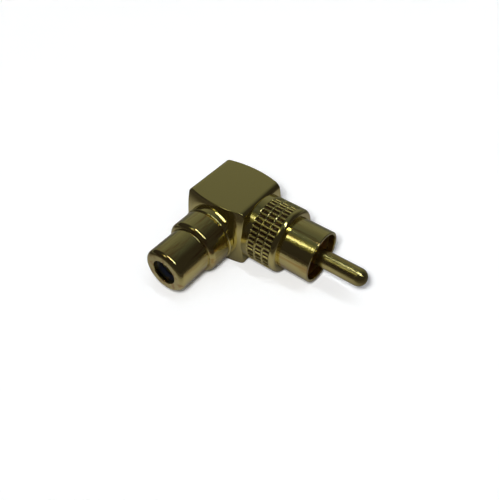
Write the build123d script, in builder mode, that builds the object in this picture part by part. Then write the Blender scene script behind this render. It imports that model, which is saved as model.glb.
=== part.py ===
from build123d import *
from math import cos, radians, sin, sqrt, tan
import os

os.makedirs("parts", exist_ok=True)

# Right-angle RCA adapter, all sizes in mm.
# The plug points along +X and the socket along -Y, and their axes cross at one height.
# The origin is the centre of the elbow's flat base, straight below that crossing.
# A station is a distance from the crossing, out along the plug or along the socket.

# Standard connector sizes that both ends are built round
pin_radius = 1.588
jack_radius = 4.15
shell_radius = 4.765

# Fits: one fixed part in another, and the spring tube on a plug's pin
seat_gap = 0.02
spring_gap = 0.032

# A large rounding on a turned piece is made of a few short tapers
corner_steps = 3

# Elbow, cut from square bar that lies along the socket axis, with both ends turned
bar_corner = 1.0
back_face = 6.4
socket_face = 6.12
end_margin = 0.8
end_taper = 20
elbow_edge = 0.2
boss_length = 1.6
boss_edge = 0.15
boss_ledge = 0.15
port_wall = 0.35
chamber_radius = 2.4

# Knurled collar, a wall round the shell that stands a hair inside the bar's faces
collar_wall = 1.295
collar_inset = 0.04
collar_shoulder = 0.7
knurl_margin = 1.32
knurl_rows = 3
knurl_count = 42
knurl_land = 0.3
collar_band = 1.03
pit_length = 1.3
pit_width = 0.62
pit_depth = 0.3
pit_draft = 18
shell_seat = 3.9

# Shell, centre pin and the plug insulator
shell_wall = 0.5
shell_reach = 5.9
rim_edge = 0.15
stem_wall = 0.7
insulator_stand = 0.1
pin_reach = 8.64
pin_shank_radius = 1.1
pin_tail_radius = 0.95
pin_tail_reach = 1.0

# Socket barrel
flange_radius = 5.0
flange_length = 4.45
flange_edge = 0.65
flange_back_edge = 0.15
barrel_length = 6.7
mouth_edge = 0.8
mouth_radius = 2.31
mouth_bevel = 0.15
lip_thickness = 0.9
spigot_wall = 0.5

# Socket insulator and its spring contact
contact_wall = 0.53
flex_gap = 0.15
bush_wall = 0.8
bush_lip_gap = 0.16
bush_lip_thickness = 0.55
contact_setback = 0.2
contact_depth = 7.8
contact_plug_length = 2.2
contact_tail_radius = 0.5
contact_tail_reach = 0.65
slot_count = 4
slot_width = 0.35
slot_length = 6.2
lead_in = 0.12

# Radii that follow from those, worked outwards from the plug's pin
contact_bore = pin_radius + spring_gap
contact_radius = contact_bore + contact_wall
bush_pocket = contact_radius + flex_gap
bush_radius = bush_pocket + bush_wall
spigot_radius = bush_radius + spigot_wall
stem_radius = spigot_radius - stem_wall
boss_radius = flange_radius + boss_ledge
collar_radius = shell_radius + collar_wall
bar_width = 2 * (collar_radius + collar_inset)
end_flat = bar_width / 2 - end_margin
taper_reach = bar_width / sqrt(2)
taper_drop = (taper_reach - end_flat) * tan(radians(end_taper))

# Stations along the plug
axis_height = bar_width / 2
plug_face = bar_width / 2
plug_port_floor = spigot_radius + port_wall
knurl_start = plug_face + knurl_margin
knurl_pitch = pit_length + knurl_land
collar_front = knurl_start + knurl_rows * knurl_pitch - knurl_land + collar_band
collar_seat = collar_front - shell_seat
insulator_face = collar_front + insulator_stand
shell_rim = collar_front + shell_reach
pin_tip = shell_rim + pin_reach

# Stations along the socket
socket_port_floor = spigot_radius + port_wall
boss_front = socket_face + boss_length
flange_front = boss_front + flange_length
mouth_face = flange_front + barrel_length
bush_face = mouth_face - lip_thickness
contact_front = bush_face - bush_lip_thickness - contact_setback
contact_bore_floor = contact_front - contact_depth
contact_plug_end = contact_bore_floor - contact_plug_length

# Planes square to each axis at the crossing, and half-section planes through each axis
plug_plane = Plane(origin=(0, 0, axis_height), x_dir=(0, 1, 0), z_dir=(1, 0, 0))
socket_plane = Plane(origin=(0, 0, axis_height), x_dir=(1, 0, 0), z_dir=(0, -1, 0))
plug_section = Plane(origin=(0, 0, axis_height), x_dir=(1, 0, 0), z_dir=(0, 0, 1))
socket_section = Plane(origin=(0, 0, axis_height), x_dir=(0, -1, 0), z_dir=(0, 0, 1))
plug_axis = Axis((0, 0, axis_height), (1, 0, 0))
socket_axis = Axis((0, 0, axis_height), (0, -1, 0))


def is_turned_corner(edge):
    """True for an edge where a tapered end meets the bar's sides, not its own flat middle."""
    middle = edge @ 0.5
    return (middle - Vector(0, middle.Y, axis_height)).length > end_flat + elbow_edge


def eased_corner(front, radius, rounding):
    """Half-section points of a quarter round that ends at the front station."""
    turns = [radians(90 * step / corner_steps) for step in range(corner_steps + 1)]
    corner = (front - rounding, radius - rounding)
    return [(corner[0] + rounding * sin(t), corner[1] + rounding * cos(t)) for t in turns]


# Elbow body
with BuildPart() as elbow_body:
    # square bar with its four long edges rounded
    with BuildSketch(socket_plane.offset(-back_face)):
        RectangleRounded(bar_width, bar_width, bar_corner)
    extrude(amount=back_face + socket_face)
    # both ends turned: a flat middle that falls away in a shallow taper
    with BuildSketch(socket_section):
        Polygon(
            (-back_face, 0),
            (-back_face, end_flat),
            (taper_drop - back_face, taper_reach),
            (socket_face - taper_drop, taper_reach),
            (socket_face, end_flat),
            (socket_face, 0),
            align=None,
        )
    revolve(axis=socket_axis, mode=Mode.INTERSECT)
    tapers = elbow_body.faces().filter_by(GeomType.CONE)
    chamfer(tapers.edges().filter_by(is_turned_corner), length=elbow_edge)
    # turned boss that takes the socket barrel
    with BuildSketch(socket_plane.offset(socket_face - boss_length)):
        Circle(boss_radius)
    extrude(amount=2 * boss_length)
    chamfer(elbow_body.faces().sort_by(Axis.Y)[0].edges(), length=boss_edge)
    # two ports, drilled in from the plug side and the socket side
    with BuildSketch(plug_plane.offset(plug_port_floor)):
        Circle(spigot_radius + seat_gap)
    extrude(amount=plug_face - plug_port_floor, mode=Mode.SUBTRACT)
    with BuildSketch(socket_plane.offset(socket_port_floor)):
        Circle(spigot_radius + seat_gap)
    extrude(amount=boss_front - socket_port_floor, mode=Mode.SUBTRACT)
    # narrower chambers on from both ports, which meet round the crossing of the conductors
    with BuildSketch(plug_plane.offset(-chamber_radius), socket_plane.offset(-chamber_radius)):
        Circle(chamber_radius)
    extrude(amount=chamber_radius + plug_port_floor, mode=Mode.SUBTRACT)

# Cutter for one pit of the knurl, set out along the collar's radius, with four walls that
# draw in from the pit's full size at the collar's surface
collar_surface = Plane.YZ.offset(collar_radius)
with BuildPart() as pit_cutter:
    with BuildSketch(collar_surface.offset(-pit_depth)):
        Rectangle(pit_width, pit_length)
    extrude(amount=2 * pit_depth)
    pit_walls = pit_cutter.faces().sort_by(Axis.X)[1:-1]
    draft(pit_walls, neutral_plane=collar_surface, angle=-pit_draft)

# Knurled collar, pressed into the elbow, which holds the shell and the plug insulator
with BuildPart() as knurled_collar:
    with BuildSketch(plug_section):
        Polygon(
            (plug_port_floor, 0),
            (plug_port_floor, spigot_radius),
            (plug_face, spigot_radius),
            (plug_face, collar_radius),
            *eased_corner(collar_front, collar_radius, collar_shoulder),
            (collar_front, 0),
            align=None,
        )
    revolve(axis=plug_axis)
    with BuildSketch(plug_plane.offset(collar_seat)):
        Circle(shell_radius + seat_gap)
    extrude(amount=collar_front - collar_seat, mode=Mode.SUBTRACT)
    with BuildSketch(plug_plane.offset(plug_port_floor)):
        Circle(stem_radius + seat_gap)
    extrude(amount=collar_seat - plug_port_floor, mode=Mode.SUBTRACT)
    # the knurl: rings of pits side by side, with a plain land between one ring and the next
    for ring in range(knurl_rows):
        ring_station = knurl_start + ring * knurl_pitch + pit_length / 2
        with Locations(Location((ring_station, 0, axis_height), (0, 90, 0))):
            with PolarLocations(0, knurl_count):
                add(pit_cutter.part, mode=Mode.SUBTRACT)

# Plug shell, a thin tube pressed into the collar
with BuildPart() as plug_shell:
    with BuildSketch(plug_plane.offset(collar_seat)):
        Circle(shell_radius)
        Circle(shell_radius - shell_wall, mode=Mode.SUBTRACT)
    extrude(amount=shell_rim - collar_seat)
    chamfer(plug_shell.faces().sort_by(Axis.X)[-1].edges(), length=rim_edge)

# Plug insulator: a head that fills the back of the shell, and a stem through the collar
with BuildPart() as plug_insulator:
    with BuildSketch(plug_plane.offset(plug_port_floor)):
        Circle(stem_radius)
    extrude(amount=collar_seat - plug_port_floor)
    with BuildSketch(plug_plane.offset(collar_seat)):
        Circle(shell_radius - shell_wall - seat_gap)
    extrude(amount=insulator_face - collar_seat)
    chamfer(plug_insulator.faces().sort_by(Axis.X)[-1].edges(), length=lead_in)
    with BuildSketch(plug_plane.offset(plug_port_floor)):
        Circle(pin_shank_radius + seat_gap)
    extrude(amount=insulator_face - plug_port_floor, mode=Mode.SUBTRACT)

# Centre pin: round-nosed contact, shank in the insulator, cross-drilled tail in the elbow
pin_tail_end = -contact_tail_radius - pin_tail_reach
with BuildPart() as centre_pin:
    with BuildSketch(plug_section):
        with BuildLine():
            Polyline(
                (pin_tail_end, 0),
                (pin_tail_end, pin_tail_radius),
                (plug_port_floor, pin_tail_radius),
                (plug_port_floor, pin_shank_radius),
                (insulator_face, pin_shank_radius),
                (insulator_face, pin_radius),
                (pin_tip - pin_radius, pin_radius),
            )
            JernArc((pin_tip - pin_radius, pin_radius), (1, 0), pin_radius, -90)
            Line((pin_tip, 0), (pin_tail_end, 0))
        make_face()
    revolve(axis=plug_axis)
    with BuildSketch(socket_plane):
        Circle(contact_tail_radius + seat_gap)
    extrude(amount=2 * pin_tail_radius, both=True, mode=Mode.SUBTRACT)

# Socket barrel: spigot in the elbow, flange against the boss, thin-lipped front barrel
with BuildPart() as socket_barrel:
    with BuildSketch(socket_section):
        Polygon(
            (socket_port_floor, 0),
            (socket_port_floor, spigot_radius),
            (boss_front, spigot_radius),
            (boss_front, flange_radius - flange_back_edge),
            (boss_front + flange_back_edge, flange_radius),
            *eased_corner(flange_front, flange_radius, flange_edge),
            (flange_front, jack_radius),
            *eased_corner(mouth_face, jack_radius, mouth_edge),
            (mouth_face, 0),
            align=None,
        )
    revolve(axis=socket_axis)
    with BuildSketch(socket_plane.offset(socket_port_floor)):
        Circle(bush_radius + seat_gap)
    extrude(amount=bush_face - socket_port_floor, mode=Mode.SUBTRACT)
    with BuildSketch(socket_plane.offset(bush_face)):
        Circle(mouth_radius)
    extrude(amount=lip_thickness, mode=Mode.SUBTRACT)
    mouth_rim = socket_barrel.faces().sort_by(Axis.Y)[0].inner_wires()[0].edges()
    chamfer(mouth_rim, length=mouth_bevel)

# Socket insulator: a bush behind the barrel's lip, open at the back for the contact
with BuildPart() as socket_insulator:
    with BuildSketch(socket_plane.offset(socket_port_floor)):
        Circle(bush_radius)
    extrude(amount=bush_face - socket_port_floor)
    with BuildSketch(socket_plane.offset(socket_port_floor)):
        Circle(bush_pocket)
    extrude(amount=bush_face - bush_lip_thickness - socket_port_floor, mode=Mode.SUBTRACT)
    with BuildSketch(socket_plane.offset(bush_face)):
        Circle(contact_bore + bush_lip_gap)
    extrude(amount=-bush_lip_thickness, mode=Mode.SUBTRACT)

# Socket contact: a slotted spring tube on a solid plug, with a tail through the centre pin
contact_tail_end = -pin_tail_radius - contact_tail_reach
with BuildPart() as socket_contact:
    with BuildSketch(socket_plane.offset(contact_tail_end)):
        Circle(contact_tail_radius)
    extrude(amount=contact_plug_end - contact_tail_end)
    with BuildSketch(socket_plane.offset(contact_plug_end)):
        Circle(bush_pocket - seat_gap)
    extrude(amount=contact_plug_length)
    with BuildSketch(socket_plane.offset(contact_bore_floor)):
        Circle(contact_radius)
        Circle(contact_bore, mode=Mode.SUBTRACT)
    extrude(amount=contact_depth)
    contact_rim = socket_contact.faces().sort_by(Axis.Y)[0].inner_wires()[0].edges()
    chamfer(contact_rim, length=lead_in)
    # slots that part the tube into springs
    with Locations(Location((0, slot_length / 2 - contact_front, axis_height), (90, 0, 0))):
        with PolarLocations(contact_radius, slot_count, start_angle=45):
            Box(2 * contact_wall, slot_width, slot_length, mode=Mode.SUBTRACT)

elbow_body.part.label = "elbow_body"
knurled_collar.part.label = "knurled_collar"
plug_shell.part.label = "plug_shell"
plug_insulator.part.label = "plug_insulator"
centre_pin.part.label = "centre_pin"
socket_barrel.part.label = "socket_barrel"
socket_insulator.part.label = "socket_insulator"
socket_contact.part.label = "socket_contact"

export_step(elbow_body.part, "parts/elbow_body.step")
export_step(knurled_collar.part, "parts/knurled_collar.step")
export_step(plug_shell.part, "parts/plug_shell.step")
export_step(plug_insulator.part, "parts/plug_insulator.step")
export_step(centre_pin.part, "parts/centre_pin.step")
export_step(socket_barrel.part, "parts/socket_barrel.step")
export_step(socket_insulator.part, "parts/socket_insulator.step")
export_step(socket_contact.part, "parts/socket_contact.step")
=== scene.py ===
import bmesh
import bpy
import numpy as np
from mathutils import Matrix, Vector


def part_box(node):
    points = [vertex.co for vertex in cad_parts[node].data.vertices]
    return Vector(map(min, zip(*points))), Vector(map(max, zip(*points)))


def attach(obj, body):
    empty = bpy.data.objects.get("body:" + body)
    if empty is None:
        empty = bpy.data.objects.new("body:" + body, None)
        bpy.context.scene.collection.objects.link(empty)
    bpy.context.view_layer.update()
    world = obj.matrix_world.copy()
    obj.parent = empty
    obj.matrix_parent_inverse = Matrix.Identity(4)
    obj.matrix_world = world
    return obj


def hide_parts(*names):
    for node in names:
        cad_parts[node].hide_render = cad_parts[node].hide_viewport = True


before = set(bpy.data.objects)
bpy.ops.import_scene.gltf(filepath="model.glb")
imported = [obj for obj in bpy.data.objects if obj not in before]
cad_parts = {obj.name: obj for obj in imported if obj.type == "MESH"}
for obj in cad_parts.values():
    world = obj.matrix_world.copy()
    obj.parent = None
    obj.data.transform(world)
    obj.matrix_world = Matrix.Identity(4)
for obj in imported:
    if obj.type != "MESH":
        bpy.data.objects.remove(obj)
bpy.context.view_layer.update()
mm = 0.001

# Elbow: a block sawn from square brass bar, with both ends turned to a shallow dome and a
# round boss left on the front one for the socket. It is bored from two sides, polished and
# gold plated, and everything else is pressed into it. This piece has only the socket's bore.
elbow_low, elbow_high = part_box("elbow_body")
barrel_low, barrel_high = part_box("socket_barrel")
axis_height = elbow_high.z / 2
bar_half = elbow_high.x
back_face = elbow_high.y
boss_front = -elbow_low.y
port_floor = -barrel_high.y
bar_corner = 1.0 * mm
elbow_edge = 0.22 * mm
end_flat = 5.3 * mm
dome_radius = 20 * mm
dome_shares = (1 / 4, 1 / 2, 3 / 4)
socket_face = 6.12 * mm
boss_radius = 5.15 * mm
boss_edge = 0.25 * mm
boss_root = 0.05 * mm
port_radius = 3.62 * mm
gold_hex = "#F1E490"
stain_hex = "#C69148"
stain_size = 0.9 * mm
stain_stretch = 0.12
wear_size = 1.6 * mm
scene = bpy.context.scene


def linear(hex_colour, alpha=1.0):
    """The linear colour of an sRGB hex value, by the sRGB curve."""
    srgb = np.array([int(hex_colour[i : i + 2], 16) for i in (1, 3, 5)]) / 255
    flat = np.where(srgb <= 0.04045, srgb / 12.92, ((srgb + 0.055) / 1.055) ** 2.4)
    return (*flat, alpha)


def add_node(tree, kind, inputs=None, **settings):
    """Adds a node with its settings, and fills each input with a value or a link."""
    made = tree.nodes.new(kind)
    for name, value in settings.items():
        setattr(made, name, value)
    for name, value in (inputs or {}).items():
        if isinstance(value, bpy.types.NodeSocket):
            tree.links.new(value, made.inputs[name])
        else:
            made.inputs[name].default_value = value
    return made


def eased(corners, steps=8, keep=0.04 * mm):
    """Points along a section whose corners are rounded by true arcs.

    A corner is (station, radius, rounding), each a number or one value per turn. Its arc
    starts and ends at the same distance from the corner, rounding / tan(half its angle), and
    is the rational quadratic curve between them with the sine of that half as its weight.
    A point is kept close to each end of an arc, so that flat runs shade flat.
    """
    places = [np.stack(np.broadcast_arrays(c[0], c[1]), -1).reshape(-1, 2) for c in corners]
    t = np.linspace(0, 1, steps)[:, None, None]
    points = []
    for k, (place, corner) in enumerate(zip(places, corners)):
        rounding = corner[2] if len(corner) > 2 else 0
        if not rounding:
            points.append(place[None])
            continue
        before = places[k - 1] - place
        after = places[(k + 1) % len(places)] - place
        before = before / np.linalg.norm(before, axis=-1, keepdims=True)
        after = after / np.linalg.norm(after, axis=-1, keepdims=True)
        cosine = (before * after).sum(-1, keepdims=True)
        reach = rounding * np.sqrt((1 + cosine) / (1 - cosine))
        weight = np.sqrt((1 - cosine) / 2)
        start, end = place + before * reach, place + after * reach
        parts = (1 - t) ** 2, 2 * weight * t * (1 - t), t**2
        arc = (parts[0] * start + parts[1] * place + parts[2] * end) / sum(parts)
        points += [(start + before * keep)[None], arc, (end + after * keep)[None]]
    turns = max(p.shape[1] for p in points)
    return np.concatenate([np.broadcast_to(p, (len(p), turns, 2)) for p in points])


def carry_round(name, points, turns, out, side, closed):
    """A mesh of a section carried round an axis through the crossing of both axes.

    A point at (station, radius) goes to station along the axis and radius away from it, at
    each turn angle. A closed section joins its last point to its first. Points that meet at
    the axis are merged, and edges of more than 40 degrees stay sharp.
    """
    count, around = len(points), len(turns)
    station, radius = np.broadcast_to(points, (count, around, 2)).transpose(2, 0, 1)
    place = (
        station[..., None] * np.array(out)
        + (radius * np.cos(turns))[..., None] * np.array(side)
        + (radius * np.sin(turns) + axis_height)[..., None] * np.array((0, 0, 1))
    )
    rows = np.arange(count if closed else count - 1)[:, None]
    cols = np.arange(around)[None]
    here, there = rows * around, (rows + 1) % count * around
    ahead = (cols + 1) % around
    quads = np.stack([here + cols, here + ahead, there + ahead, there + cols], -1)
    mesh = bpy.data.meshes.new(name)
    mesh.from_pydata(place.reshape(-1, 3), [], quads.reshape(-1, 4))
    work = bmesh.new()
    work.from_mesh(mesh)
    bmesh.ops.remove_doubles(work, verts=work.verts, dist=1e-4 * mm)
    bmesh.ops.recalc_face_normals(work, faces=work.faces)
    work.to_mesh(mesh)
    work.free()
    mesh.shade_smooth()
    mesh.set_sharp_from_angle(angle=np.radians(40))
    made = bpy.data.objects.new(name, mesh)
    scene.collection.objects.link(made)
    return made


def finish_piece(piece, node, material):
    """Dresses a piece in its material and lets it stand for its CAD node."""
    piece.data.materials.append(material)
    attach(piece, "root")
    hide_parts(node)
    return piece


def gold_plate(
    name, roughness, grain_size, grain_depth, turned_axis="", lathe=0.6, stain_share=0.0
):
    """Polished gold plate on brass: a yellow mirror, a little worn, stained and grainy.

    The colour turns from gold to stain where a noise is high, by stain_share at most. Along
    the turned axis that noise is stretched, which draws it out into streaks. The roughness
    follows a broader noise, as on a handled piece. The grain of the plate is a fine noise of
    the height grain_depth, and roughens the outline of what it mirrors. The real grain is
    a few hundredths of a millimetre wide, which wouldn't show, so it is drawn coarser.
    A clear lacquer over all this keeps the lamps' glints white. A piece turned about an axis
    keeps fine rings from the lathe, which smear what it mirrors along that axis.
    """
    made = bpy.data.materials.new(name)
    made.use_nodes = True
    tree = made.node_tree
    shader = tree.nodes["Principled BSDF"]
    shader.inputs["Metallic"].default_value = 1.0
    shader.inputs["Coat Weight"].default_value = 0.6
    shader.inputs["Coat Roughness"].default_value = 0.04
    if turned_axis:
        rings = add_node(tree, "ShaderNodeTangent", direction_type="RADIAL", axis=turned_axis)
        tree.links.new(rings.outputs["Tangent"], shader.inputs["Tangent"])
        shader.inputs["Anisotropic"].default_value = lathe
        shader.inputs["Anisotropic Rotation"].default_value = 0.25
    place = add_node(tree, "ShaderNodeTexCoord").outputs["Object"]
    stretch = [stain_stretch if axis == turned_axis else 1 for axis in "XYZ"]
    drawn_out = add_node(
        tree, "ShaderNodeVectorMath", {0: place, 1: stretch}, operation="MULTIPLY"
    )
    stain = add_node(
        tree,
        "ShaderNodeTexNoise",
        {"Vector": drawn_out.outputs[0], "Scale": 1 / stain_size, "Detail": 3.0},
    )
    stained = add_node(
        tree,
        "ShaderNodeMapRange",
        {"Value": stain.outputs["Fac"], "From Min": 0.5, "From Max": 0.69, "To Max": stain_share},
    )
    tint = add_node(
        tree,
        "ShaderNodeMix",
        {"Factor": stained.outputs["Result"], 6: linear(gold_hex), 7: linear(stain_hex)},
        data_type="RGBA",
    )
    tree.links.new(tint.outputs[2], shader.inputs["Base Color"])
    wear = add_node(
        tree, "ShaderNodeTexNoise", {"Vector": place, "Scale": 1 / wear_size, "Detail": 3.0}
    )
    gloss = add_node(
        tree,
        "ShaderNodeMapRange",
        {
            "Value": wear.outputs["Fac"],
            "From Min": 0.3,
            "From Max": 0.7,
            "To Min": roughness - 0.02,
            "To Max": roughness + 0.02,
        },
    )
    tree.links.new(gloss.outputs["Result"], shader.inputs["Roughness"])
    grain = add_node(
        tree, "ShaderNodeTexNoise", {"Vector": place, "Scale": 1 / grain_size, "Detail": 1.0}
    )
    specks = add_node(
        tree,
        "ShaderNodeMapRange",
        {"Value": grain.outputs["Fac"], "From Min": 0.4, "From Max": 0.65},
        interpolation_type="SMOOTHSTEP",
    )
    bump = add_node(
        tree,
        "ShaderNodeBump",
        {"Height": specks.outputs["Result"], "Strength": 1.0, "Distance": grain_depth},
    )
    tree.links.new(bump.outputs["Normal"], shader.inputs["Normal"])
    return made


def square_reach(turn, half, corner):
    """How far a square with rounded corners reaches from its middle at each turn angle.

    With s and l the smaller and larger of the turn's sine and cosine, a side lies half / l
    away. A corner is the far crossing with a circle round (core, core), which lies
    core (l + s) + sqrt(corner^2 - core^2 (l - s)^2) away.
    """
    large = np.maximum(abs(np.cos(turn)), abs(np.sin(turn)))
    small = np.minimum(abs(np.cos(turn)), abs(np.sin(turn)))
    core = half - corner
    gap = np.maximum(corner**2 - (core * (large - small)) ** 2, 0)
    on_corner = half * small / large > core
    return np.where(on_corner, core * (large + small) + np.sqrt(gap), half / large)


def dome_fall(radius):
    """How far a domed end has fallen below its flat middle at a radius, as a sphere does."""
    return np.sqrt(dome_radius**2 - end_flat**2) - np.sqrt(dome_radius**2 - radius**2)


elbow_turns = np.linspace(0, 2 * np.pi, 320, endpoint=False)
side_reach = square_reach(elbow_turns, bar_half, bar_corner)
dome_rings = [end_flat + (side_reach - end_flat) * share for share in dome_shares]
elbow_section = eased(
    [
        (-back_face, 0),
        (-back_face, end_flat),
        *[(dome_fall(ring) - back_face, ring) for ring in dome_rings],
        (dome_fall(side_reach) - back_face, side_reach, elbow_edge),
        (socket_face - dome_fall(side_reach), side_reach, elbow_edge),
        *[(socket_face - dome_fall(ring), ring) for ring in dome_rings[::-1]],
        (socket_face, end_flat),
        (socket_face, boss_radius, boss_root),
        (boss_front, boss_radius, boss_edge),
        (boss_front, port_radius),
        (port_floor, port_radius),
        (port_floor, 0),
    ]
)
elbow = carry_round("elbow", elbow_section, elbow_turns, (0, -1, 0), (1, 0, 0), False)
# the flat sides are buffed: hardly any grain, so they mirror the room as even dark olive
bar_gold = gold_plate(
    "gold_plate_on_milled_bar", roughness=0.06, grain_size=0.2 * mm, grain_depth=0.6e-3 * mm
)
finish_piece(elbow, "elbow_body", bar_gold)

# Socket barrel: turned brass, gold plated. Its spigot is pressed into the elbow, the flange
# stands against the boss, and the lip at the mouth keeps the insulator in.
flange_radius = barrel_high.x
mouth_face = -barrel_low.y
flange_front = 12.17 * mm
jack_radius = 4.15 * mm
spigot_radius = 3.6 * mm
bush_bore = 3.12 * mm
bush_face = 17.97 * mm
mouth_radius = 2.31 * mm
flange_back_edge = 0.25 * mm
flange_edge = 0.85 * mm
flange_foot = 0.08 * mm
mouth_edge = 0.8 * mm
mouth_bevel = 0.15 * mm
turned_turns = np.linspace(0, 2 * np.pi, 240, endpoint=False)
barrel_section = eased(
    [
        (port_floor, bush_bore),
        (port_floor, spigot_radius),
        (boss_front, spigot_radius),
        (boss_front, flange_radius, flange_back_edge),
        (flange_front, flange_radius, flange_edge),
        (flange_front, jack_radius, flange_foot),
        (mouth_face, jack_radius, mouth_edge),
        (mouth_face, mouth_radius, mouth_bevel),
        (bush_face, mouth_radius),
        (bush_face, bush_bore),
    ]
)
barrel = carry_round("barrel", barrel_section, turned_turns, (0, -1, 0), (1, 0, 0), True)
# turned and much handled: long soft bands of light and dark, with brownish streaks
barrel_gold = gold_plate(
    "gold_plate_on_turned_barrel",
    roughness=0.05,
    grain_size=0.24 * mm,
    grain_depth=3.5e-3 * mm,
    turned_axis="Y",
    stain_share=0.72,
)
finish_piece(barrel, "socket_barrel", barrel_gold)

# Knurled collar: turned brass, gold plated, pressed into the elbow. Three rings of pits are
# rolled into it for grip, and its front is bored to take the shell and the insulator.
collar_low, collar_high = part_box("knurled_collar")
shell_low, shell_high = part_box("plug_shell")
collar_radius = collar_high.y
collar_front = collar_high.x
collar_start = collar_low.x
shell_seat = shell_low.x
shell_radius = shell_high.y
shell_gap = 0.02 * mm
stem_bore = 2.92 * mm
collar_shoulder = 0.7 * mm
lip_edge = 0.06 * mm
knurl_start = 7.42 * mm
knurl_rows = 3
knurl_count = 42
pit_length = 1.3 * mm
pit_width = 0.62 * mm
pit_depth = 0.3 * mm
pit_wall = 0.2 * mm
pit_brow = 0.09 * mm
pit_wall_steps = 7
knurl_land = 0.3 * mm
knurl_pitch = pit_length + knurl_land
row_middles = knurl_start + pit_length / 2 + np.arange(knurl_rows) * knurl_pitch


def pit_steps(size, land):
    """Offsets from a pit's middle that fall on its rim, wall and floor, and on its lands."""
    half, outside = size / 2, size / 2 + land / 2
    slope = half + pit_brow - (pit_wall + pit_brow) * np.linspace(1, 0, pit_wall_steps)
    near = np.concatenate([[0.4 * slope[0]], slope, [outside]])
    return np.concatenate([-near[:-1][::-1], near])


turn_pitch = 2 * np.pi / knurl_count
turn_land = turn_pitch * collar_radius - pit_width
turn_steps = pit_steps(pit_width, turn_land) / collar_radius
pit_turns = np.pi / 2 + np.arange(knurl_count) * turn_pitch
knurl_turns = (pit_turns[:, None] + turn_steps[None]).ravel()
knurl_stations = (row_middles[:, None] + pit_steps(pit_length, knurl_land)[None]).ravel()
collar_section = eased(
    [
        (collar_start, stem_bore),
        (collar_start, spigot_radius),
        (bar_half, spigot_radius),
        (bar_half, collar_radius),
        (knurl_stations[0] - knurl_land / 2, collar_radius),
        *[(station, collar_radius) for station in knurl_stations],
        (collar_front, collar_radius, collar_shoulder),
        (collar_front, shell_radius + shell_gap, lip_edge),
        (shell_seat, shell_radius + shell_gap),
        (shell_seat, stem_bore),
    ]
)
# how far a place lies inside the rim of its nearest pit sets how deep it has sunk, by the
# smooth step 3 s^2 - 2 s^3 of its share of the wall
across = (knurl_turns - np.pi / 2 + turn_pitch / 2) % turn_pitch - turn_pitch / 2
across = pit_width / 2 - abs(across) * collar_radius
along = abs(collar_section[:, 0, 0][:, None] - row_middles[None]).min(1)
along = pit_length / 2 - along
inside = np.minimum(across[None], along[:, None])
share = np.clip((inside + pit_brow) / (pit_wall + pit_brow), 0, 1)
sunk = share**2 * (3 - 2 * share)
on_band = collar_section[..., 1] > collar_radius - 1e-6 * mm
collar_section = np.repeat(collar_section, len(knurl_turns), 1)
collar_section[..., 1] -= np.where(on_band, sunk * pit_depth, 0)
collar = carry_round("collar", collar_section, knurl_turns, (1, 0, 0), (0, -1, 0), True)
# knurled and then plated: each pit's brow catches its own spark of light
knurl_gold = gold_plate(
    "gold_plate_on_knurled_collar", roughness=0.08, grain_size=0.16 * mm, grain_depth=2e-3 * mm
)


# the browner colour that this lays in hollows is partly tarnish and partly painted shade
def tarnish_and_shade_below(material, end, fade, shallow, deep, hex_colour, roughness):
    """Browns and dulls the plate from a radius round the plug's axis down to a lesser one.

    Along the axis it fades over a length that ends at the station named as its end.
    """
    tree = material.node_tree
    shader = tree.nodes["Principled BSDF"]
    gloss = shader.inputs["Roughness"].links[0].from_socket
    plate = shader.inputs["Base Color"].links[0].from_socket
    place = add_node(tree, "ShaderNodeTexCoord").outputs["Object"]
    station = add_node(tree, "ShaderNodeSeparateXYZ", {"Vector": place}).outputs["X"]
    spoke = add_node(
        tree,
        "ShaderNodeVectorMath",
        {0: place, 1: (0, 1, 1), 2: (0, 0, -axis_height)},
        operation="MULTIPLY_ADD",
    )
    radius = add_node(tree, "ShaderNodeVectorMath", {0: spoke.outputs[0]}, operation="LENGTH")
    depth = add_node(
        tree,
        "ShaderNodeMapRange",
        {"Value": radius.outputs["Value"], "From Min": shallow, "From Max": deep},
        interpolation_type="SMOOTHSTEP",
    )
    before = add_node(
        tree,
        "ShaderNodeMapRange",
        {"Value": station, "From Min": end, "From Max": end - fade},
        interpolation_type="SMOOTHSTEP",
    )
    share = add_node(
        tree,
        "ShaderNodeMath",
        {0: depth.outputs["Result"], 1: before.outputs["Result"]},
        operation="MULTIPLY",
    ).outputs[0]
    tint = add_node(
        tree,
        "ShaderNodeMix",
        {"Factor": share, 6: plate, 7: linear(hex_colour)},
        data_type="RGBA",
    )
    tree.links.new(tint.outputs[2], shader.inputs["Base Color"])
    dull = add_node(tree, "ShaderNodeMix", {0: share, 2: gloss, 3: roughness})
    tree.links.new(dull.outputs[0], shader.inputs["Roughness"])


# the pits hold old polish and tarnish, and their colour darkens with depth, partly as painted
# shade, which leaves them dark between the bright lands
tarnish_and_shade_below(
    knurl_gold,
    end=knurl_stations[-1] + knurl_land,
    fade=0.01 * mm,
    shallow=collar_radius - 0.06 * mm,
    deep=collar_radius - 0.24 * mm,
    hex_colour="#5E4424",
    roughness=0.4,
)
finish_piece(collar, "knurled_collar", knurl_gold)

# Plug shell: a thin tube drawn from brass, gold plated, pressed into the collar's front. Its
# plain rim goes over the barrel of the socket that it is plugged into.
shell_rim = shell_high.x
shell_wall = 0.5 * mm
rim_edge = 0.14 * mm
shell_section = eased(
    [
        (shell_seat, shell_radius - shell_wall),
        (shell_seat, shell_radius),
        (shell_rim, shell_radius, rim_edge),
        (shell_rim, shell_radius - shell_wall, rim_edge),
    ]
)
shell = carry_round("shell", shell_section, turned_turns, (1, 0, 0), (0, -1, 0), True)
# bright outside, with one hard line of light along the tube and a few brownish streaks
shell_gold = gold_plate(
    "gold_plate_on_drawn_shell",
    roughness=0.05,
    grain_size=0.24 * mm,
    grain_depth=4.5e-3 * mm,
    turned_axis="X",
    stain_share=0.66,
)
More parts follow.
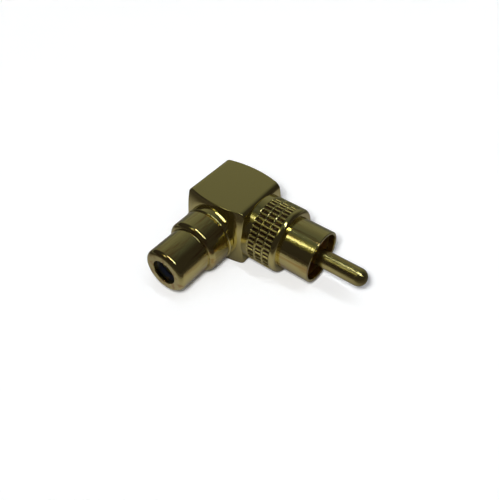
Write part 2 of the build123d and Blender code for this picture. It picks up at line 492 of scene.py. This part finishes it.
# inside, the tube is left as drawn, dull and brownish, which is partly painted shade deeper in,
# but for a bright end at the mouth
tarnish_and_shade_below(
    shell_gold,
    end=shell_rim - rim_edge,
    fade=2.2 * mm,
    shallow=shell_radius - 0.3 * mm,
    deep=shell_radius - 0.45 * mm,
    hex_colour="#C89A58",
    roughness=0.5,
)
finish_piece(shell, "plug_shell", shell_gold)

# Centre pin: turned brass with a round nose, gold plated, held by its shank in the insulator.
# The CAD node has the real shape, so it only gets its finish, which is rubbed dull by use.
pin_gold = gold_plate(
    "gold_plate_on_turned_pin",
    roughness=0.23,
    grain_size=0.12 * mm,
    grain_depth=1e-3 * mm,
    turned_axis="X",
    lathe=0.3,
    stain_share=0.3,
)
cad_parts["centre_pin"].material_slots[0].material = pin_gold

# Socket contact: a slotted spring tube of phosphor bronze, gold plated, deep in the socket.
# The CAD node has the real shape. Its finish is satin, as on a pressed spring.
spring_gold = gold_plate(
    "gold_plate_on_spring_contact", roughness=0.25, grain_size=0.1 * mm, grain_depth=1e-3 * mm
)
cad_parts["socket_contact"].material_slots[0].material = spring_gold

# Insulators: two black mouldings of glass-filled nylon. One holds the pin at the back of the
# shell, the other is the bush behind the mouth of the socket. Both keep their CAD shapes.
mould_grain = 0.15 * mm


def moulded_plastic(name, hex_colour, roughness):
    """Moulded black nylon: satin, from the fine sparked grain of its mould.

    One noise drives both the roughness and a bump of 2 micrometres. The real grain is about
    0.03 mm wide, and is drawn five times as coarse so that it shows.
    """
    made = bpy.data.materials.new(name)
    made.use_nodes = True
    tree = made.node_tree
    shader = tree.nodes["Principled BSDF"]
    shader.inputs["Base Color"].default_value = linear(hex_colour)
    place = add_node(tree, "ShaderNodeTexCoord").outputs["Object"]
    grain = add_node(
        tree, "ShaderNodeTexNoise", {"Vector": place, "Scale": 1 / mould_grain, "Detail": 3.0}
    )
    gloss = add_node(
        tree,
        "ShaderNodeMapRange",
        {"Value": grain.outputs["Fac"], "To Min": roughness - 0.1, "To Max": roughness + 0.1},
    )
    tree.links.new(gloss.outputs["Result"], shader.inputs["Roughness"])
    bump = add_node(
        tree,
        "ShaderNodeBump",
        {"Height": grain.outputs["Fac"], "Strength": 0.5, "Distance": 2e-3 * mm},
    )
    tree.links.new(bump.outputs["Normal"], shader.inputs["Normal"])
    return made


plug_plastic = moulded_plastic("moulded_nylon_plug_insulator", "#1C1916", 0.55)
bush_plastic = moulded_plastic("moulded_nylon_socket_bush", "#14171F", 0.45)
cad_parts["plug_insulator"].material_slots[0].material = plug_plastic
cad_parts["socket_insulator"].material_slots[0].material = bush_plastic

# Camera: above and to the right of the corner between plug and socket, close to the adapter.
# Its place, turn and lens are those of a camera fitted to the real pin and barrel.
camera_aim = Vector((8.16, -6.06, 6.1)) * mm
camera_distance = 91.75 * mm
camera_roll = np.radians(0.755)


def heading(azimuth, elevation):
    """The unit vector at an azimuth from +X towards +Y and an elevation, in degrees."""
    a, e = np.radians(azimuth), np.radians(elevation)
    return Vector((np.cos(a) * np.cos(e), np.sin(a) * np.cos(e), np.sin(e)))


camera_heading = heading(-53.31, 46.63)
camera_place = camera_aim + camera_heading * camera_distance
camera_turn = camera_heading.to_track_quat("Z", "Y").to_matrix().to_4x4()
camera_turn = camera_turn @ Matrix.Rotation(camera_roll, 4, "Z")
camera = bpy.data.objects.new("camera", bpy.data.cameras.new("camera"))
camera.data.sensor_width = 36
camera.data.lens = 38.5
camera.data.clip_start = 1 * mm
camera.matrix_world = Matrix.Translation(camera_place) @ camera_turn
scene.collection.objects.link(camera)
scene.camera = camera

# Lamps: a soft one beside the camera lights the floor, so that the shadow keeps close to the
# adapter's lower right side. A small one high on the left draws the line along the shell, and
# a cool strip overhead the glints on the pin and on the rounded edges.
soft_lean = np.tan(np.radians(4.7)) * camera_distance
soft_place = camera_place + camera_turn.to_3x3() @ Vector((-soft_lean, soft_lean, 0))
soft_size = np.tan(np.radians(5)) * camera_distance
soft_level = 0.69
other_level = 0.31
lamp_distance = 0.4
small_lamp_heading = heading(-126, 55)
soft = bpy.data.objects.new("soft_lamp", bpy.data.lights.new("soft_lamp", "POINT"))
soft.data.energy = soft_level * 4 * np.pi**2 * soft_place.length / soft_place.z
soft.data.shadow_soft_size = soft_size
soft.data.use_nodes = True
tree = soft.data.node_tree
steady = add_node(tree, "ShaderNodeLightFalloff", {"Strength": 1.0})
tree.links.new(steady.outputs["Constant"], tree.nodes["Emission"].inputs["Strength"])
soft.location = soft_place
soft.visible_glossy = False
scene.collection.objects.link(soft)


def aimed_lamp(name, middle, width, length, radiance, colour):
    """A lamp turned to the adapter, of a radiance and the two angles that it fills.

    A side is 2 distance tan(angle / 2), and the energy is radiance pi area.
    """
    made = bpy.data.objects.new(name, bpy.data.lights.new(name, "AREA"))
    sides = [2 * lamp_distance * np.tan(np.radians(angle / 2)) for angle in (width, length)]
    made.data.shape = "ELLIPSE" if width == length else "RECTANGLE"
    made.data.size, made.data.size_y = sides
    area = sides[0] * sides[1] * (np.pi / 4 if width == length else 1)
    made.data.energy = radiance * np.pi * area
    made.data.color = colour
    made.location = Vector((0, 0, axis_height)) + middle * lamp_distance
    made.rotation_mode = "QUATERNION"
    made.rotation_quaternion = middle.to_track_quat("Z", "Y")
    scene.collection.objects.link(made)
    return made


aimed_lamp("small_lamp", small_lamp_heading, 10, 10, 1.5, (1.0, 0.98, 0.85))
aimed_lamp("strip_lamp", heading(0, 74), 5, 50, 7.5, (0.87, 0.93, 1.0))

# Floor: a white sheet under the adapter. The camera sees it white with the adapter's shadow.
# The polished metal mirrors it as a dimmer pool of light painted into its colour for other rays,
# ending not far off, with painted shade close to the adapter and painted light again towards
# the wall of the room.
painted_pool_colour = (0.345, 0.325, 0.33, 1)
painted_pool_rim_colour = (0.04, 0.034, 0.033, 1)
painted_far_pool_colour = (0.15, 0.15, 0.14, 1)
pool_middle = Vector((2, -3, 0)) * mm
pool_inner = 10 * mm
pool_outer = 38 * mm
painted_shade_reach = 14 * mm
painted_shade_power = 0.7
wall_side = (-0.64, 0.77, 0)
wall_side_reach = 45 * mm
white_level = 1.02
floor_half = 2.0
floor_mesh = bpy.data.meshes.new("floor")
floor_mesh.from_pydata(
    [(x * floor_half, y * floor_half, 0) for x, y in ((-1, -1), (1, -1), (1, 1), (-1, 1))],
    [],
    [(0, 1, 2, 3)],
)
floor = bpy.data.objects.new("floor", floor_mesh)
scene.collection.objects.link(floor)
floor_paper = bpy.data.materials.new("paper_floor_with_painted_pool")
floor_paper.use_nodes = True
tree = floor_paper.node_tree
tree.nodes.remove(tree.nodes["Principled BSDF"])
place = add_node(tree, "ShaderNodeTexCoord").outputs["Object"]
away = add_node(tree, "ShaderNodeVectorMath", {0: place, 1: pool_middle}, operation="DISTANCE")
past_pool = add_node(
    tree,
    "ShaderNodeMapRange",
    {"Value": away.outputs["Value"], "From Min": pool_inner, "From Max": pool_outer},
    interpolation_type="SMOOTHSTEP",
)
to_wall = add_node(
    tree, "ShaderNodeVectorMath", {0: place, 1: wall_side}, operation="DOT_PRODUCT"
)
far = add_node(
    tree,
    "ShaderNodeMapRange",
    {"Value": to_wall.outputs["Value"], "From Min": 0, "From Max": wall_side_reach},
    interpolation_type="SMOOTHSTEP",
)
rim = add_node(
    tree,
    "ShaderNodeMix",
    {"Factor": far.outputs["Result"], 6: painted_pool_rim_colour, 7: painted_far_pool_colour},
    data_type="RGBA",
)
pool = add_node(
    tree,
    "ShaderNodeMix",
    {"Factor": past_pool.outputs["Result"], 6: painted_pool_colour, 7: rim.outputs[2]},
    data_type="RGBA",
)
# painted shade: the pool's colour darkens where the adapter hides much of the room
painted_shade_occlusion = add_node(tree, "ShaderNodeAmbientOcclusion", {"Distance": painted_shade_reach})
painted_shade_share = add_node(
    tree, "ShaderNodeMath", {0: painted_shade_occlusion.outputs["AO"], 1: painted_shade_power}, operation="POWER"
)
painted_pool_and_shade = add_node(
    tree,
    "ShaderNodeVectorMath",
    {0: pool.outputs[2], "Scale": painted_shade_share.outputs[0]},
    operation="SCALE",
)
# the soft lamp lights a far place less, so the sheet is whitened there for the camera
beam = add_node(tree, "ShaderNodeVectorMath", {0: place, 1: soft_place}, operation="DISTANCE")
soft_share = add_node(
    tree,
    "ShaderNodeMath",
    {0: soft_level * soft_place.length, 1: beam.outputs["Value"]},
    operation="DIVIDE",
)
level = add_node(
    tree, "ShaderNodeMath", {0: soft_share.outputs[0], 1: other_level}, operation="ADD"
)
even = add_node(
    tree,
    "ShaderNodeMath",
    {0: white_level, 1: level.outputs[0]},
    operation="DIVIDE",
    use_clamp=True,
)
missing = add_node(
    tree,
    "ShaderNodeMath",
    {0: white_level, 1: level.outputs[0]},
    operation="SUBTRACT",
    use_clamp=True,
)
ray = add_node(tree, "ShaderNodeLightPath")
sheet_colour = add_node(
    tree,
    "ShaderNodeMix",
    {
        "Factor": ray.outputs["Is Camera Ray"],
        6: painted_pool_and_shade.outputs[0],
        7: even.outputs[0],
    },
    data_type="RGBA",
)
whitening = add_node(
    tree,
    "ShaderNodeMath",
    {0: missing.outputs[0], 1: ray.outputs["Is Camera Ray"]},
    operation="MULTIPLY",
)
paper = add_node(tree, "ShaderNodeBsdfDiffuse", {"Color": sheet_colour.outputs[2]})
white = add_node(tree, "ShaderNodeEmission", {"Strength": whitening.outputs[0]})
sheet = add_node(
    tree, "ShaderNodeAddShader", {0: paper.outputs["BSDF"], 1: white.outputs["Emission"]}
)
tree.links.new(sheet.outputs["Shader"], tree.nodes["Material Output"].inputs["Surface"])
floor_mesh.materials.append(floor_paper)

# Room: white behind everything for the camera, and a dim studio in the polished metal, with
# a pale wall behind the adapter that ends at a corner, a ceiling, and a glow round the lamps.
# Each shine has a heading, a colour, and the angles up to which it is even and gone.
room_colour = (0.025, 0.0215, 0.021)
wall = (heading(125, 4), (0.135, 0.14, 0.12), 20, 76)
ceiling = (heading(80, 84), (0.032, 0.04, 0.04), 20, 42)
small_lamp_glow = (small_lamp_heading, (0.13, 0.13, 0.05), 6, 20)
strip_lamp_end = (heading(180, 74), (0.05, 0.055, 0.05), 3, 16)
corner_heading = heading(75, 0)
corner_width = 0.17
fill_level = 0.17
world = bpy.data.worlds.new("studio")
scene.world = world
world.use_nodes = True
tree = world.node_tree
direction = add_node(tree, "ShaderNodeTexCoord").outputs["Generated"]


def shine(middle, colour, inner, outer):
    """Light that is even up to an inner angle from its middle and gone at the outer one."""
    cosine = add_node(
        tree, "ShaderNodeVectorMath", {0: direction, 1: middle}, operation="DOT_PRODUCT"
    )
    angle = add_node(tree, "ShaderNodeMath", {0: cosine.outputs["Value"]}, operation="ARCCOSINE")
    share = add_node(
        tree,
        "ShaderNodeMapRange",
        {
            "Value": angle.outputs[0],
            "From Min": np.radians(outer),
            "From Max": np.radians(inner),
        },
        interpolation_type="SMOOTHSTEP",
    )
    return add_node(
        tree,
        "ShaderNodeVectorMath",
        {0: colour, "Scale": share.outputs["Result"]},
        operation="SCALE",
    ).outputs[0]


past_corner = add_node(
    tree, "ShaderNodeVectorMath", {0: direction, 1: corner_heading}, operation="DOT_PRODUCT"
)
on_wall = add_node(
    tree,
    "ShaderNodeMapRange",
    {"Value": past_corner.outputs["Value"], "From Min": 0.0, "From Max": corner_width},
    interpolation_type="SMOOTHSTEP",
)
room = add_node(
    tree,
    "ShaderNodeVectorMath",
    {0: shine(*wall), "Scale": on_wall.outputs["Result"]},
    operation="SCALE",
).outputs[0]
room = add_node(
    tree, "ShaderNodeVectorMath", {0: room_colour, 1: room}, operation="ADD"
).outputs[0]
for patch in (ceiling, small_lamp_glow, strip_lamp_end):
    room = add_node(
        tree, "ShaderNodeVectorMath", {0: room, 1: shine(*patch)}, operation="ADD"
    ).outputs[0]
ray = add_node(tree, "ShaderNodeLightPath")
mirrored = add_node(
    tree,
    "ShaderNodeMix",
    {"Factor": ray.outputs["Is Glossy Ray"], 6: (fill_level, fill_level, fill_level, 1), 7: room},
    data_type="RGBA",
)
seen = add_node(
    tree,
    "ShaderNodeMix",
    {"Factor": ray.outputs["Is Camera Ray"], 6: mirrored.outputs[2], 7: (1, 1, 1, 1)},
    data_type="RGBA",
)
tree.links.new(seen.outputs[2], tree.nodes["Background"].inputs["Color"])

scene.view_settings.view_transform = "Standard"
